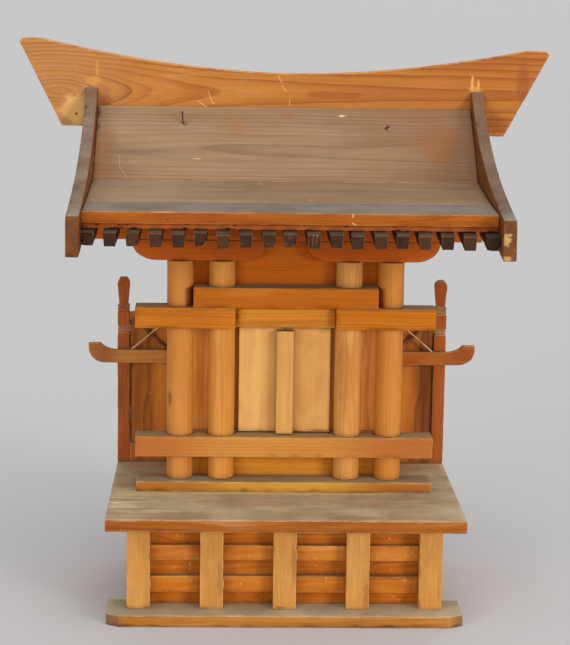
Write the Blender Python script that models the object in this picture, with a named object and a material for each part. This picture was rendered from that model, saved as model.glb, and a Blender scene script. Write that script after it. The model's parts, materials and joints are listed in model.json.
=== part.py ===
"""Household shrine of plain softwood, as it stands on a shelf.

A slatted pedestal carries a platform. On it stand four round columns with rails and
beams let in round them, a hollow sanctuary with two doors, and a side screen at each
hand. A one-sided roof with rafters, bargeboards and a tall ridge board covers it.

Metres, +Z up, the front looks along -Y. Lengths along Y are counted from the front edge
of the platform, and the root empty then moves the whole shrine so that the origin is
under the middle of its box.
"""
import math
import random

import bmesh
import bpy

# Fits
GAP = 0.0003            # between two pieces that touch
EDGE = 0.0004           # worn arris of a planed board

# Pedestal
FOOT_WIDTH = 0.3000
FOOT_FRONT = 0.0067
FOOT_DEPTH = 0.0463
FOOT_THICK = 0.0095
FOOT_CORNER_X = 0.0114
FOOT_CORNER_Y = 0.0067
PEDESTAL_WIDTH = 0.2665
PEDESTAL_HEIGHT = 0.0740
POST_COUNT = 5
POST_WIDTH = 0.0195
POST_DEPTH = 0.0100
POST_FRONT = 0.0255
SLAT_THICK = 0.0058
SLAT_INSET = 0.0023     # slat ends behind the outer faces of the posts
SLATS = (("upper", 0.0400, 0.0131), ("lower", 0.0118, 0.0143))
PEDESTAL_BOARD = 0.0050
PEDESTAL_SIDE_INSET = 0.0028
PEDESTAL_REAR = 0.2070
REAR_FOOT_DEPTH = 0.0420

# Platform and sill
PLATFORM_WIDTH = 0.3000
PLATFORM_DEPTH = 0.2140
PLATFORM_THICK = 0.0102
SILL_WIDTH = 0.2568
SILL_FRONT = 0.0915
SILL_HEIGHT = 0.0086

# Columns, rails and beams
COLUMN_RADIUS = 0.0114
COLUMN_Y = 0.1115
COLUMN_HEIGHT = 0.1919
COLUMN_OUTER_X = 0.0912
COLUMN_INNER_X = 0.0550
COLUMN_SIDES = 36
LOWER_RAIL_WIDTH = 0.2588
LOWER_RAIL_FRONT = 0.0947
LOWER_RAIL_LIFT = 0.0216
LOWER_RAIL_HEIGHT = 0.0177
BEAM_FRONT = 0.0930
MID_BEAM_INNER_X = 0.0434
MID_BEAM_OUTER_X = 0.1295
MID_BEAM_HEIGHT = 0.0178
UPPER_BEAM_HEIGHT = 0.0172
LINTEL_FRONT = 0.1010
LINTEL_HEIGHT = 0.0172
BRACKET_INNER_X = 0.0175
BRACKET_OUTER_X = 0.1326
BRACKET_HEIGHT = 0.0175
BRACKET_FRONT = 0.1045
BRACKET_ROUND_X = 0.0210
BRACKET_ROUND_Z = 0.0160
PURLIN_HEIGHT = 0.0248

# Sanctuary
WALL_FRONT = 0.1185
WALL_THICK = 0.0050
WALL_REAR = 0.2132
DOORWAY_HALF = 0.0370
DOOR_HALF = 0.0400
DOOR_SEAM = 0.0003      # from the middle to each leaf
DOOR_FRONT = 0.1125
DOOR_THICK = 0.0050
DOOR_LIFT = 0.0012
DOOR_HEIGHT = 0.0937
DOOR_HEAD_CLEARANCE = 0.0011
DOOR_PIVOT_INSET_X = 0.0015
DOOR_PIVOT_INSET_Y = 0.0020
BATTEN_WIDTH = 0.0146
BATTEN_DEPTH = 0.0085
BATTEN_TOP_DROP = 0.0027

# Side screens
SIDE_POST = 0.0110
SIDE_POST_HEIGHT = 0.1712
SIDE_POST_SETBACK = 0.0060  # from the platform's rear edge
BANDS = (0.1196, 0.1382)    # foot of each band of three ridges
BAND_PITCH = 0.0032
BAND_RIDGE = 0.0010
BAND_CHAMFER = 0.0010
BAND_GROOVE = 0.0011
NECK_START = 0.1462
HEAD_START = 0.1640
FLAT_HEAD = ((0.0050, 0.0), (0.0015, 0.0015), (0.0, 0.0025))  # drop, inset
CROWN_ANGLES = (0, 25, 50, 70, 82)
SIDE_POST_NECK = 0.0040
SIDE_RAIL_DEPTH = 0.0092
SIDE_BOTTOM_RAIL_HEIGHT = 0.0171
SIDE_TOP_RAIL_LIFT = 0.1325
SIDE_TOP_RAIL_HEIGHT = 0.0066
SIDE_PANEL_THICK = 0.0040
BAR_LIFT = 0.0938
BAR_HEIGHT = 0.0119
BAR_DEPTH = 0.0057
BAR_OUTER_X = 0.1760
BAR_TIP_RISE = 0.0063
BAR_TIP_FLAT = 0.0112
BAR_TIP_RUN = 0.0155
BAR_TIP_HOLLOW = 0.3
BAR_TIP_FACE = 0.0045
BAR_TIP_ROUND = 0.0140
BRACES = (("rear", 0.0030, 0.0026), ("front", 0.0022, 0.0016))  # depth, width

# Roof
ROOF_WIDTH = 0.3370
ROOF_VERTICAL = 0.0075  # upright thickness of the two roof boards
ROOF_JOINT_Y = 0.1404
LOWER_SLOPE = math.radians(5.35)
UPPER_SLOPE = math.radians(39.0)
EAVE_FRONT = -0.0025
EAVE_DEPTH = 0.0500
EAVE_SLOPE = math.radians(2.5)
EAVE_THICK = 0.0096
RAFTER_COUNT = 19
RAFTER_WIDTH = 0.0108
RAFTER_DEPTH = 0.0108
RAFTER_SLOPE = math.radians(7.7)
RAFTER_FRONT = -0.0100
RAFTER_UNEVEN = 0.0015
FILLET_INSET = 0.0037   # fillet front behind the front of the eave board
FILLET_FACE = 0.0042
FILLET_REACH = 0.0073
FILLET_SINK = 0.0005
BARGE_THICK = 0.0105
BARGE_FRONT = -0.0260
BARGE_NOSE_Y = 0.0030
BARGE_NOSE_Z = 0.0074
BARGE_FACE = 0.0254
BARGE_RIDGE_RISE = 0.0163
BARGE_RIDGE_DEPTH = 0.0440
BARGE_BELLY_DEPTH = 0.0360
BARGE_LIP_DROP = 0.0009
BARGE_BELLY_Y = 0.0046   # behind the joint of the roof boards
BARGE_BELLY_Z = 0.0128   # above it
BARGE_STEPS = 14
RIDGE_TOP_WIDTH = 0.4770
RIDGE_BOTTOM_WIDTH = 0.4000
RIDGE_THICK = 0.0090
RIDGE_DROP = 0.0215
RIDGE_MIDDLE_HEIGHT = 0.0517
RIDGE_TIP_RISE = 0.0258
RIDGE_TIP_FLAT = 0.0203
RIDGE_CORNER = 0.0030
RIDGE_CURVE = 1.85      # power of the top's curve, a little fuller than a parabola
RIDGE_STEPS = 24
RIDGE_TILT = math.radians(0.8)
NAIL_X = -0.0914
NAIL_Y = 0.1950
NAIL_RADIUS = 0.00065
NAIL_LENGTH = 0.0105
NAIL_HEAD_RADIUS = 0.0014
NAIL_HEAD_THICK = 0.0005
NAIL_LEAN = math.radians(-4)
NAIL_SIDES = 10

# Heights that follow from the stack of pieces
platform_bottom = FOOT_THICK + GAP + PEDESTAL_HEIGHT + GAP
platform_top = platform_bottom + PLATFORM_THICK
floor_z = platform_top + GAP
sill_top = floor_z + SILL_HEIGHT
column_bottom = sill_top + GAP
column_top = column_bottom + COLUMN_HEIGHT
rail_bottom = sill_top + LOWER_RAIL_LIFT
rail_top = rail_bottom + LOWER_RAIL_HEIGHT
door_bottom = rail_top + DOOR_LIFT
door_top = door_bottom + DOOR_HEIGHT
beam_bottom = door_top + DOOR_HEAD_CLEARANCE
mid_beam_top = beam_bottom + MID_BEAM_HEIGHT
upper_beam_bottom = mid_beam_top + GAP
bracket_bottom = column_top + GAP
purlin_bottom = bracket_bottom + BRACKET_HEIGHT + GAP
wall_outer_x = COLUMN_OUTER_X + COLUMN_RADIUS
wall_inner_x = wall_outer_x - WALL_THICK
wall_back = WALL_FRONT + WALL_THICK
side_post_inner_x = PLATFORM_WIDTH / 2 - SIDE_POST
side_post_front = PLATFORM_DEPTH - SIDE_POST_SETBACK - SIDE_POST
skirt_top = door_bottom - 2 * GAP
eave_rear = EAVE_FRONT + EAVE_DEPTH
ridge_front = WALL_REAR + GAP
ridge_back = ridge_front + RIDGE_THICK
roof_half = ROOF_WIDTH / 2
shrine_middle_y = (BARGE_FRONT - BARGE_NOSE_Y + ridge_back) / 2


def rafter_under(y):
    """Height of the rafters' undersides, which lie on the purlin's front edge."""
    rest = purlin_bottom + PURLIN_HEIGHT + GAP
    return rest + (y - BRACKET_FRONT) * math.tan(RAFTER_SLOPE)


def rafter_over(y):
    return rafter_under(y) + RAFTER_DEPTH / math.cos(RAFTER_SLOPE)


def roof_top(y):
    """Height of the roof's upper surface: eave board, lower board, upper board."""
    at_wall = rafter_over(WALL_FRONT) + GAP + ROOF_VERTICAL
    if y > ROOF_JOINT_Y:
        return roof_top(ROOF_JOINT_Y) + (y - ROOF_JOINT_Y) * math.tan(UPPER_SLOPE)
    if y < eave_rear:
        return roof_top(eave_rear) - (eave_rear - y) * math.tan(EAVE_SLOPE)
    return at_wall + (y - WALL_FRONT) * math.tan(LOWER_SLOPE)


def below_roof(y):
    return roof_top(y) - ROOF_VERTICAL - GAP


def bezier(start, middle, end, steps):
    """Points of a three-point curve, both ends included."""
    points = []
    for i in range(steps + 1):
        t = i / steps
        a, b, c = (1 - t) ** 2, 2 * t * (1 - t), t * t
        points.append(tuple(a * p + b * q + c * r for p, q, r in zip(start, middle, end)))
    return points


def quarter(centre, radii, start, end, steps):
    """Points of a stretch of an ellipse, angles in degrees."""
    points = []
    for i in range(steps + 1):
        angle = math.radians(start + (end - start) * i / steps)
        points.append((centre[0] + radii[0] * math.cos(angle),
                       centre[1] + radii[1] * math.sin(angle)))
    return points


# Materials: seasoned softwood in the tones that age and light have given it
def wood(name, colour, roughness=0.55):
    material = bpy.data.materials.new(name)
    material.use_nodes = True
    shader = material.node_tree.nodes["Principled BSDF"]
    shader.inputs["Base Color"].default_value = (*colour, 1.0)
    shader.inputs["Roughness"].default_value = roughness
    shader.inputs["Metallic"].default_value = 0.0
    material.diffuse_color = (*colour, 1.0)
    return material


def iron(name, colour):
    material = wood(name, colour, 0.6)
    material.node_tree.nodes["Principled BSDF"].inputs["Metallic"].default_value = 0.8
    return material


# Building blocks
def add(name, mesh, material, parent, location=(0, 0, 0)):
    """Make an object of the mesh under its parent."""
    mesh.materials.append(material)
    thing = bpy.data.objects.new(name, mesh)
    thing.location = location
    thing.parent = parent
    bpy.context.scene.collection.objects.link(thing)
    return thing


def ease(thing, width=EDGE):
    """Take the sharpness off the arrises of a piece."""
    bevel = thing.modifiers.new("eased edges", "BEVEL")
    bevel.width = width
    bevel.segments = 1
    bevel.limit_method = "ANGLE"
    bevel.angle_limit = math.radians(50)


def board(name, x, y, z, material, parent, origin=None):
    """Straight board between two values on each axis, given in the parent's frame."""
    middle = [(low + high) / 2 for low, high in (x, y, z)]
    location = origin or middle
    bm = bmesh.new()
    bmesh.ops.create_cube(bm, size=1.0)
    for vertex in bm.verts:
        for axis, (low, high) in enumerate((x, y, z)):
            size = high - low
            vertex.co[axis] = vertex.co[axis] * size + middle[axis] - location[axis]
    mesh = bpy.data.meshes.new(name)
    bm.to_mesh(mesh)
    bm.free()
    ease(add(name, mesh, material, parent, location))


def prism(name, outline, along, low, high, material, parent, eased=True):
    """Outline swept along X, Y or Z. It gives (y, z), (x, z) or (x, y) points."""
    bm = bmesh.new()
    places = {"X": lambda a, b: (low, a, b), "Y": lambda a, b: (a, low, b),
              "Z": lambda a, b: (a, b, low)}
    verts = [bm.verts.new(places[along](a, b)) for a, b in outline]
    face = bm.faces.new(verts)
    swept = bmesh.ops.extrude_face_region(bm, geom=[face])
    shift = [0.0, 0.0, 0.0]
    shift["XYZ".index(along)] = high - low
    moved = [item for item in swept["geom"] if isinstance(item, bmesh.types.BMVert)]
    bmesh.ops.translate(bm, verts=moved, vec=shift)
    bmesh.ops.recalc_face_normals(bm, faces=bm.faces)
    mesh = bpy.data.meshes.new(name)
    bm.to_mesh(mesh)
    bm.free()
    thing = add(name, mesh, material, parent)
    if eased:
        ease(thing)
    return thing


def mirrored(side, low, high):
    """Range on X between two distances from the middle, on one side of it."""
    return (low, high) if side > 0 else (-high, -low)


def smooth_round(thing):
    thing.data.shade_smooth()
    thing.data.set_sharp_from_angle(angle=math.radians(35))


SIDES = (("left", -1), ("right", 1))
COLUMNS = (-COLUMN_OUTER_X, -COLUMN_INNER_X, COLUMN_INNER_X, COLUMN_OUTER_X)


def column_outline(x):
    """Round front and flat back, which stands against the sanctuary's front."""
    chord = WALL_FRONT - GAP - COLUMN_Y
    start = math.degrees(math.asin(chord / COLUMN_RADIUS))
    sweep = quarter((x, COLUMN_Y), (COLUMN_RADIUS, COLUMN_RADIUS),
                    start, -180 - start, COLUMN_SIDES)
    return sweep


def let_in_outline(left, right, front, back):
    """Plan of a rail or beam, let in round every column that it meets."""
    reach = COLUMN_RADIUS + GAP
    points = [(left, front), (right, front)]
    rise = math.degrees(math.asin(min(1.0, (back - COLUMN_Y) / reach)))
    covered_right = any(abs(right - x) < reach for x in COLUMNS)
    covered_left = any(abs(left - x) < reach for x in COLUMNS)
    if not covered_right:
        points.append((right, back))
    for x in sorted(COLUMNS, reverse=True):
        if x - reach >= right or x + reach <= left:
            continue
        start = rise
        end = -180 - rise
        if abs(right - x) < reach:
            start = -math.degrees(math.acos((right - x) / reach))
        if abs(left - x) < reach:
            end = -math.degrees(math.acos((left - x) / reach))
        points += quarter((x, COLUMN_Y), (reach, reach), start, end, COLUMN_SIDES)
    if not covered_left:
        points.append((left, back))
    return points


def build_pedestal(root, woods):
    """Front foot, rear foot, five posts, two slats and the closed box behind them."""
    half = FOOT_WIDTH / 2
    back = FOOT_FRONT + FOOT_DEPTH
    outline = [(-half, FOOT_FRONT + FOOT_CORNER_Y), (-half + FOOT_CORNER_X, FOOT_FRONT),
               (half - FOOT_CORNER_X, FOOT_FRONT), (half, FOOT_FRONT + FOOT_CORNER_Y),
               (half, back), (-half, back)]
    prism("base_board", outline, "Z", 0, FOOT_THICK, woods["base"], root)
    bottom = FOOT_THICK + GAP
    top = bottom + PEDESTAL_HEIGHT
    outer = PEDESTAL_WIDTH / 2
    pitch = (PEDESTAL_WIDTH - POST_WIDTH) / (POST_COUNT - 1)
    post_back = POST_FRONT + POST_DEPTH
    for i in range(POST_COUNT):
        left = -outer + i * pitch
        board(f"pedestal_post_{i + 1}", (left, left + POST_WIDTH), (POST_FRONT, post_back),
              (bottom, top), woods["post"], root)
    slat_half = outer - SLAT_INSET
    slat_front = post_back + GAP
    slat_back = slat_front + SLAT_THICK
    for name, lift, height in SLATS:
        board(f"pedestal_slat_{name}", (-slat_half, slat_half), (slat_front, slat_back),
              (FOOT_THICK + lift, FOOT_THICK + lift + height), woods["slat"], root)
    panel_front = slat_back + GAP
    panel_back = panel_front + PEDESTAL_BOARD
    board("pedestal_back_board", (-slat_half, slat_half), (panel_front, panel_back),
          (bottom, top), woods["slat"], root)
    side_outer = outer - PEDESTAL_SIDE_INSET
    side_inner = side_outer - PEDESTAL_BOARD
    for name, side in SIDES:
        board(f"pedestal_side_{name}", mirrored(side, side_inner, side_outer),
              (panel_back + GAP, PEDESTAL_REAR), (bottom, top), woods["slat"], root)
    board("pedestal_rear_board", (-side_inner + GAP, side_inner - GAP),
          (PEDESTAL_REAR - PEDESTAL_BOARD, PEDESTAL_REAR), (bottom, top),
          woods["slat"], root)
    board("rear_foot", (-side_outer, side_outer),
          (PEDESTAL_REAR - REAR_FOOT_DEPTH, PEDESTAL_REAR), (0, FOOT_THICK),
          woods["base"], root)


def build_platform(root, woods):
    half = PLATFORM_WIDTH / 2
    board("platform_board", (-half, half), (0, PLATFORM_DEPTH),
          (platform_bottom, platform_top), woods["platform"], root)
    board("sill_strip", (-SILL_WIDTH / 2, SILL_WIDTH / 2), (SILL_FRONT, WALL_FRONT - GAP),
          (floor_z, sill_top), woods["beam"], root)


def build_columns(root, woods):
    for i, x in enumerate(COLUMNS):
        column = prism(f"column_{i + 1}", column_outline(x), "Z", column_bottom, column_top,
                       woods["column"], root, eased=False)
        smooth_round(column)


def build_beams(root, woods):
    """Lower rail, two mid beams, upper beam and lintel, all let in round the columns."""
    rail_half = LOWER_RAIL_WIDTH / 2
    beam_back = WALL_FRONT - GAP
    prism("lower_rail", let_in_outline(-rail_half, rail_half, LOWER_RAIL_FRONT, beam_back),
          "Z", rail_bottom, rail_top, woods["beam"], root)
    for name, side in SIDES:
        left, right = mirrored(side, MID_BEAM_INNER_X, MID_BEAM_OUTER_X)
        prism(f"mid_beam_{name}", let_in_outline(left, right, BEAM_FRONT, beam_back),
              "Z", beam_bottom, mid_beam_top, woods["beam"], root)
    half = COLUMN_OUTER_X - COLUMN_RADIUS - GAP
    prism("upper_beam", let_in_outline(-half, half, BEAM_FRONT, beam_back), "Z",
          upper_beam_bottom, upper_beam_bottom + UPPER_BEAM_HEIGHT, woods["beam"], root)
    half = MID_BEAM_INNER_X - GAP
    prism("lintel", let_in_outline(-half, half, LINTEL_FRONT, COLUMN_Y), "Z",
          beam_bottom, beam_bottom + LINTEL_HEIGHT, woods["beam"], root)


def bracket_outline(side):
    """Boat shape: flat top, both lower corners rounded off."""
    left, right = mirrored(side, BRACKET_INNER_X, BRACKET_OUTER_X)
    top = bracket_bottom + BRACKET_HEIGHT
    round_z = bracket_bottom + BRACKET_ROUND_Z
    radii = (BRACKET_ROUND_X, BRACKET_ROUND_Z)
    points = [(right, top), (left, top)]
    points += quarter((left + BRACKET_ROUND_X, round_z), radii, 180, 270, 8)
    points += quarter((right - BRACKET_ROUND_X, round_z), radii, 270, 360, 8)
    return points


def build_eave_support(root, woods):
    """Bracket arms on the columns and the purlin that the rafters lie on."""
    back = WALL_FRONT - GAP
    for name, side in SIDES:
        prism(f"bracket_arm_{name}", bracket_outline(side), "Y", BRACKET_FRONT, back,
              woods["bracket"], root)
    outline = [(BRACKET_FRONT, purlin_bottom), (back, purlin_bottom),
               (back, rafter_under(back) - GAP),
               (BRACKET_FRONT, rafter_under(BRACKET_FRONT) - GAP)]
    half = roof_half - GAP
    prism("eave_purlin", outline, "X", -half, half, woods["bracket"], root)


def build_sanctuary(root, woods):
    """Hollow box of thin boards: floor, front, sides and back, open to the roof."""
    half = wall_inner_x - GAP
    front = (WALL_FRONT, wall_back)
    board("skirt_board", (-half, half), front, (floor_z, skirt_top), woods["wall"], root)
    for name, side in SIDES:
        board(f"front_wall_{name}", mirrored(side, DOORWAY_HALF, half), front,
              (skirt_top + GAP, mid_beam_top), woods["wall"], root)
    upper = [(WALL_FRONT, mid_beam_top + GAP), (wall_back, mid_beam_top + GAP),
             (wall_back, below_roof(wall_back)), (WALL_FRONT, below_roof(WALL_FRONT))]
    prism("upper_wall", upper, "X", -half, half, woods["upper_wall"], root)
    back_front = WALL_REAR - WALL_THICK
    side_end = back_front - GAP
    gable = [(WALL_FRONT, floor_z), (side_end, floor_z), (side_end, below_roof(side_end)),
             (ROOF_JOINT_Y, below_roof(ROOF_JOINT_Y)), (WALL_FRONT, below_roof(WALL_FRONT))]
    for name, side in SIDES:
        low, high = mirrored(side, wall_inner_x, wall_outer_x)
        prism(f"side_wall_{name}", gable, "X", low, high, woods["wall"], root)
    back = [(back_front, floor_z), (WALL_REAR, floor_z), (WALL_REAR, below_roof(WALL_REAR)),
            (back_front, below_roof(back_front))]
    prism("back_wall", back, "X", -wall_outer_x, wall_outer_x, woods["wall"], root)
    board("sanctuary_floor", (-half, half), (wall_back + GAP, side_end),
          (skirt_top - WALL_THICK, skirt_top), woods["wall"], root)


def build_doors(root, woods):
    """Two leaves that open outward, each under an empty on its pivot line."""
    door_back = DOOR_FRONT + DOOR_THICK
    for name, side in SIDES:
        pivot = bpy.data.objects.new(f"door_{name}_pivot", None)
        pivot_x = side * (DOOR_HALF - DOOR_PIVOT_INSET_X)
        pivot.location = (pivot_x, door_back - DOOR_PIVOT_INSET_Y, door_bottom)
        pivot.parent = root
        bpy.context.scene.collection.objects.link(pivot)
        shift_x, shift_y, shift_z = pivot.location
        low, high = mirrored(side, DOOR_SEAM, DOOR_HALF)
        board(f"door_{name}", (low - shift_x, high - shift_x),
              (DOOR_FRONT - shift_y, door_back - shift_y),
              (door_bottom - shift_z, door_top - shift_z), woods["door"], pivot,
              origin=(0, 0, 0))
        if side > 0:
            half = BATTEN_WIDTH / 2
            batten_back = DOOR_FRONT - GAP
            board("door_batten", (-half - shift_x, half - shift_x),
                  (batten_back - BATTEN_DEPTH - shift_y, batten_back - shift_y),
                  (door_bottom - shift_z, door_top - BATTEN_TOP_DROP - shift_z),
                  woods["door"], pivot, origin=(0, 0, 0))


def side_post_rings(rounded_head):
    """Height and half width, bottom to top: shaft, two grooved bands, neck, head."""
    full = SIDE_POST / 2
    rings = [(0.0, full)]
    for band in BANDS:
        for i in range(3):
            start = band + i * BAND_PITCH
            if i:
                rings.append((start - BAND_CHAMFER, full - BAND_GROOVE))
            rings.append((start, full))
            rings.append((start + BAND_RIDGE, full))
    rings += [(NECK_START, SIDE_POST_NECK), (HEAD_START, full)]
    if rounded_head:
        for angle in CROWN_ANGLES:
            turn = math.radians(angle)
            rings.append((SIDE_POST_HEIGHT - full + full * math.sin(turn), full * math.cos(turn)))
    else:
        rings += [(SIDE_POST_HEIGHT - drop, full - inset) for drop, inset in FLAT_HEAD]
    return rings


def build_side_post(name, side, root, woods):
    """Square post turned up from rings of four corners."""
    bm = bmesh.new()
    last = None
    for height, half in side_post_rings(rounded_head=side > 0):
        corners = [(-half, -half), (half, -half), (half, half), (-half, half)]
        ring = [bm.verts.new((x, y, height)) for x, y in corners]
        if last is None:
            bm.faces.new(ring[::-1])
        else:
            for i in range(4):
                j = (i + 1) % 4
                bm.faces.new((last[i], last[j], ring[j], ring[i]))
        last = ring
    bm.faces.new(last)
    mesh = bpy.data.meshes.new(f"side_post_{name}")
    bm.to_mesh(mesh)
    bm.free()
    half = SIDE_POST / 2
    location = (side * (side_post_inner_x + half), side_post_front + half, floor_z)
    add(f"side_post_{name}", mesh, woods["side_post"], root, location)


def bar_outline(side):
    """Bar with an upturned tip: hollow run up to the tip, rounded underside."""
    bottom = floor_z + BAR_LIFT
    top = bottom + BAR_HEIGHT
    tip = top + BAR_TIP_RISE
    run_end = BAR_OUTER_X - BAR_TIP_FLAT
    run_start = run_end - BAR_TIP_RUN
    inner = wall_outer_x + GAP
    points = [(inner, bottom), (inner, top)]
    hollow = (run_end - BAR_TIP_RUN * BAR_TIP_HOLLOW, top)
    points += bezier((run_start, top), hollow, (run_end, tip), 6)
    points.append((BAR_OUTER_X, tip))
    centre = (BAR_OUTER_X - BAR_TIP_ROUND, tip - BAR_TIP_FACE)
    points += quarter(centre, (BAR_TIP_ROUND, centre[1] - bottom), 0, -90, 8)
    return [(side * x, z) for x, z in points]


def build_side_screens(root, woods):
    """Post, rails, panel, curved bar and crossed braces, on each side."""
    inner = wall_outer_x + GAP
    outer = side_post_inner_x - GAP
    rail_y = (side_post_front, side_post_front + SIDE_RAIL_DEPTH)
    panel_middle = sum(rail_y) / 2
    panel_y = (panel_middle - SIDE_PANEL_THICK / 2, panel_middle + SIDE_PANEL_THICK / 2)
    low_top = floor_z + SIDE_BOTTOM_RAIL_HEIGHT
    high_bottom = floor_z + SIDE_TOP_RAIL_LIFT
    high_top = high_bottom + SIDE_TOP_RAIL_HEIGHT
    bar_y = (side_post_front - GAP - BAR_DEPTH, side_post_front - GAP)
    brace_bottom = floor_z + BAR_LIFT + BAR_HEIGHT + GAP
    brace_top = high_bottom + SIDE_TOP_RAIL_HEIGHT / 4
    for name, side in SIDES:
        build_side_post(name, side, root, woods)
        x = mirrored(side, inner, outer)
        board(f"side_bottom_rail_{name}", x, rail_y, (floor_z, low_top), woods["side"], root)
        board(f"side_top_rail_{name}", x, rail_y, (high_bottom, high_top), woods["side"], root)
        board(f"side_panel_{name}", x, panel_y, (low_top + GAP, high_bottom - GAP),
              woods["side"], root)
        prism(f"side_bar_{name}", bar_outline(side), "Y", *bar_y, woods["side_post"], root,
              eased=False)
        back = bar_y[1]
        rise = brace_top - brace_bottom
        for label, depth, width in BRACES:
            low_x, high_x = inner + width, outer - width
            flat = width * math.hypot(high_x - low_x, rise) / rise / 2
            if label == "front":
                low_x, high_x = high_x, low_x
            outline = [(side * (low_x - flat), brace_bottom), (side * (low_x + flat), brace_bottom),
                       (side * (high_x + flat), brace_top), (side * (high_x - flat), brace_top)]
            prism(f"cross_brace_{name}_{label}", outline, "Y", back - depth, back,
                  woods["brace"], root, eased=False)
            back -= depth + GAP


def build_rafters(root, woods):
    """Nineteen rafters under the fillet strip that they are glued to, as one comb."""
    rng = random.Random(19)
    half = roof_half - GAP
    pitch = (2 * half - RAFTER_WIDTH) / (RAFTER_COUNT - 1)
    back = WALL_FRONT - GAP
    bm = bmesh.new()
    for i in range(RAFTER_COUNT):
        left = -half + i * pitch
        front = RAFTER_FRONT + rng.uniform(-RAFTER_UNEVEN, RAFTER_UNEVEN)
        outline = [(front, rafter_under(front)), (back, rafter_under(back)),
                   (back, rafter_over(back)), (front, rafter_over(front))]
        near = [bm.verts.new((left, y, z)) for y, z in outline]
        far = [bm.verts.new((left + RAFTER_WIDTH, y, z)) for y, z in outline]
        bm.faces.new(near)
        bm.faces.new(far)
        for a in range(4):
            b = (a + 1) % 4
            bm.faces.new((near[a], near[b], far[b], far[a]))
    bmesh.ops.recalc_face_normals(bm, faces=bm.faces)
    mesh = bpy.data.meshes.new("rafter_bars")
    bm.to_mesh(mesh)
    bm.free()
    bars = add("rafter_bars", mesh, woods["rafter"], root)
    bars.hide_render = True
    bars.display_type = "WIRE"
    front = EAVE_FRONT + FILLET_INSET
    meet = front + FILLET_REACH
    rear = eave_rear - 3 * GAP
    under_eave = EAVE_THICK + GAP
    top_front = roof_top(front) - under_eave
    outline = [(front, top_front), (front, top_front - FILLET_FACE),
               (meet, rafter_over(meet) - FILLET_SINK), (rear, rafter_over(rear) - FILLET_SINK),
               (rear, roof_top(rear) - under_eave)]
    comb = prism("rafter_row", outline, "X", -half, half, woods["rafter"], root, eased=False)
    join = comb.modifiers.new("rafters", "BOOLEAN")
    join.operation = "UNION"
    join.solver = "EXACT"
    join.object = bars


def build_roof_boards(root, woods):
    half = roof_half - GAP
    rear = eave_rear - GAP / 2
    outline = [(EAVE_FRONT, roof_top(EAVE_FRONT) - EAVE_THICK), (EAVE_FRONT, roof_top(EAVE_FRONT)),
               (rear, roof_top(rear)), (rear, roof_top(rear) - EAVE_THICK)]
    prism("eave_board", outline, "X", -half, half, woods["eave"], root)
    front = eave_rear + GAP / 2
    rear = ROOF_JOINT_Y - GAP / 2
    outline = [(front, roof_top(front) - ROOF_VERTICAL), (front, roof_top(front)),
               (rear, roof_top(rear)), (rear, roof_top(rear) - ROOF_VERTICAL)]
    prism("roof_board_lower", outline, "X", -half, half, woods["roof"], root)
    front = ROOF_JOINT_Y + GAP / 2
    rear = WALL_REAR
    outline = [(front, roof_top(front) - ROOF_VERTICAL), (front, roof_top(front)),
               (rear, roof_top(rear)), (rear, roof_top(rear) - ROOF_VERTICAL)]
    prism("roof_board_upper", outline, "X", -half, half, woods["roof"], root)


def barge_outline():
    """Hollow-curved board: bevelled nose and upright end at the eave."""
    lip = roof_top(EAVE_FRONT)
    joint = roof_top(ROOF_JOINT_Y)
    ridge = roof_top(WALL_REAR) + BARGE_RIDGE_RISE
    nose_y = BARGE_FRONT - BARGE_NOSE_Y
    front_z = lip - BARGE_LIP_DROP
    nose_z = front_z - BARGE_NOSE_Z
    toe_z = nose_z - BARGE_FACE
    belly = (ROOF_JOINT_Y + BARGE_BELLY_Y, joint + BARGE_BELLY_Z)
    top = bezier((BARGE_FRONT, front_z), belly, (WALL_REAR, ridge), BARGE_STEPS)
    under = bezier((WALL_REAR, ridge - BARGE_RIDGE_DEPTH),
                   (belly[0], belly[1] - BARGE_BELLY_DEPTH), (nose_y, toe_z), BARGE_STEPS)
    return top + under + [(nose_y, nose_z)]


def build_bargeboards(root, woods):
    for name, side in SIDES:
        low, high = mirrored(side, roof_half, roof_half + BARGE_THICK)
        prism(f"bargeboard_{name}", barge_outline(), "X", low, high, woods["barge"], root)


def ridge_outline():
    """Front view of the ridge board about the level of its tips, which is Z = 0."""
    tip = RIDGE_TOP_WIDTH / 2
    apex = tip - RIDGE_TIP_FLAT
    foot = RIDGE_BOTTOM_WIDTH / 2
    depth = RIDGE_MIDDLE_HEIGHT + RIDGE_TIP_RISE
    points = [(-foot, -depth), (foot, -depth)]
    points.append((tip, -RIDGE_CORNER))
    points.append((tip - RIDGE_CORNER, 0))
    for i in range(RIDGE_STEPS + 1):
        x = apex - 2 * apex * i / RIDGE_STEPS
        points.append((x, -RIDGE_TIP_RISE * (1 - abs(x / apex) ** RIDGE_CURVE)))
    points.append((-tip + RIDGE_CORNER, 0))
    points.append((-tip, -RIDGE_CORNER))
    return points


def build_ridge(root, woods):
    ridge = prism("ridge_board", ridge_outline(), "Y", 0, RIDGE_THICK, woods["ridge"], root)
    foot_z = roof_top(WALL_REAR) - RIDGE_DROP
    ridge.location = (0, ridge_front, foot_z + RIDGE_MIDDLE_HEIGHT + RIDGE_TIP_RISE)
    ridge.rotation_euler = (0, RIDGE_TILT, 0)


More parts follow.
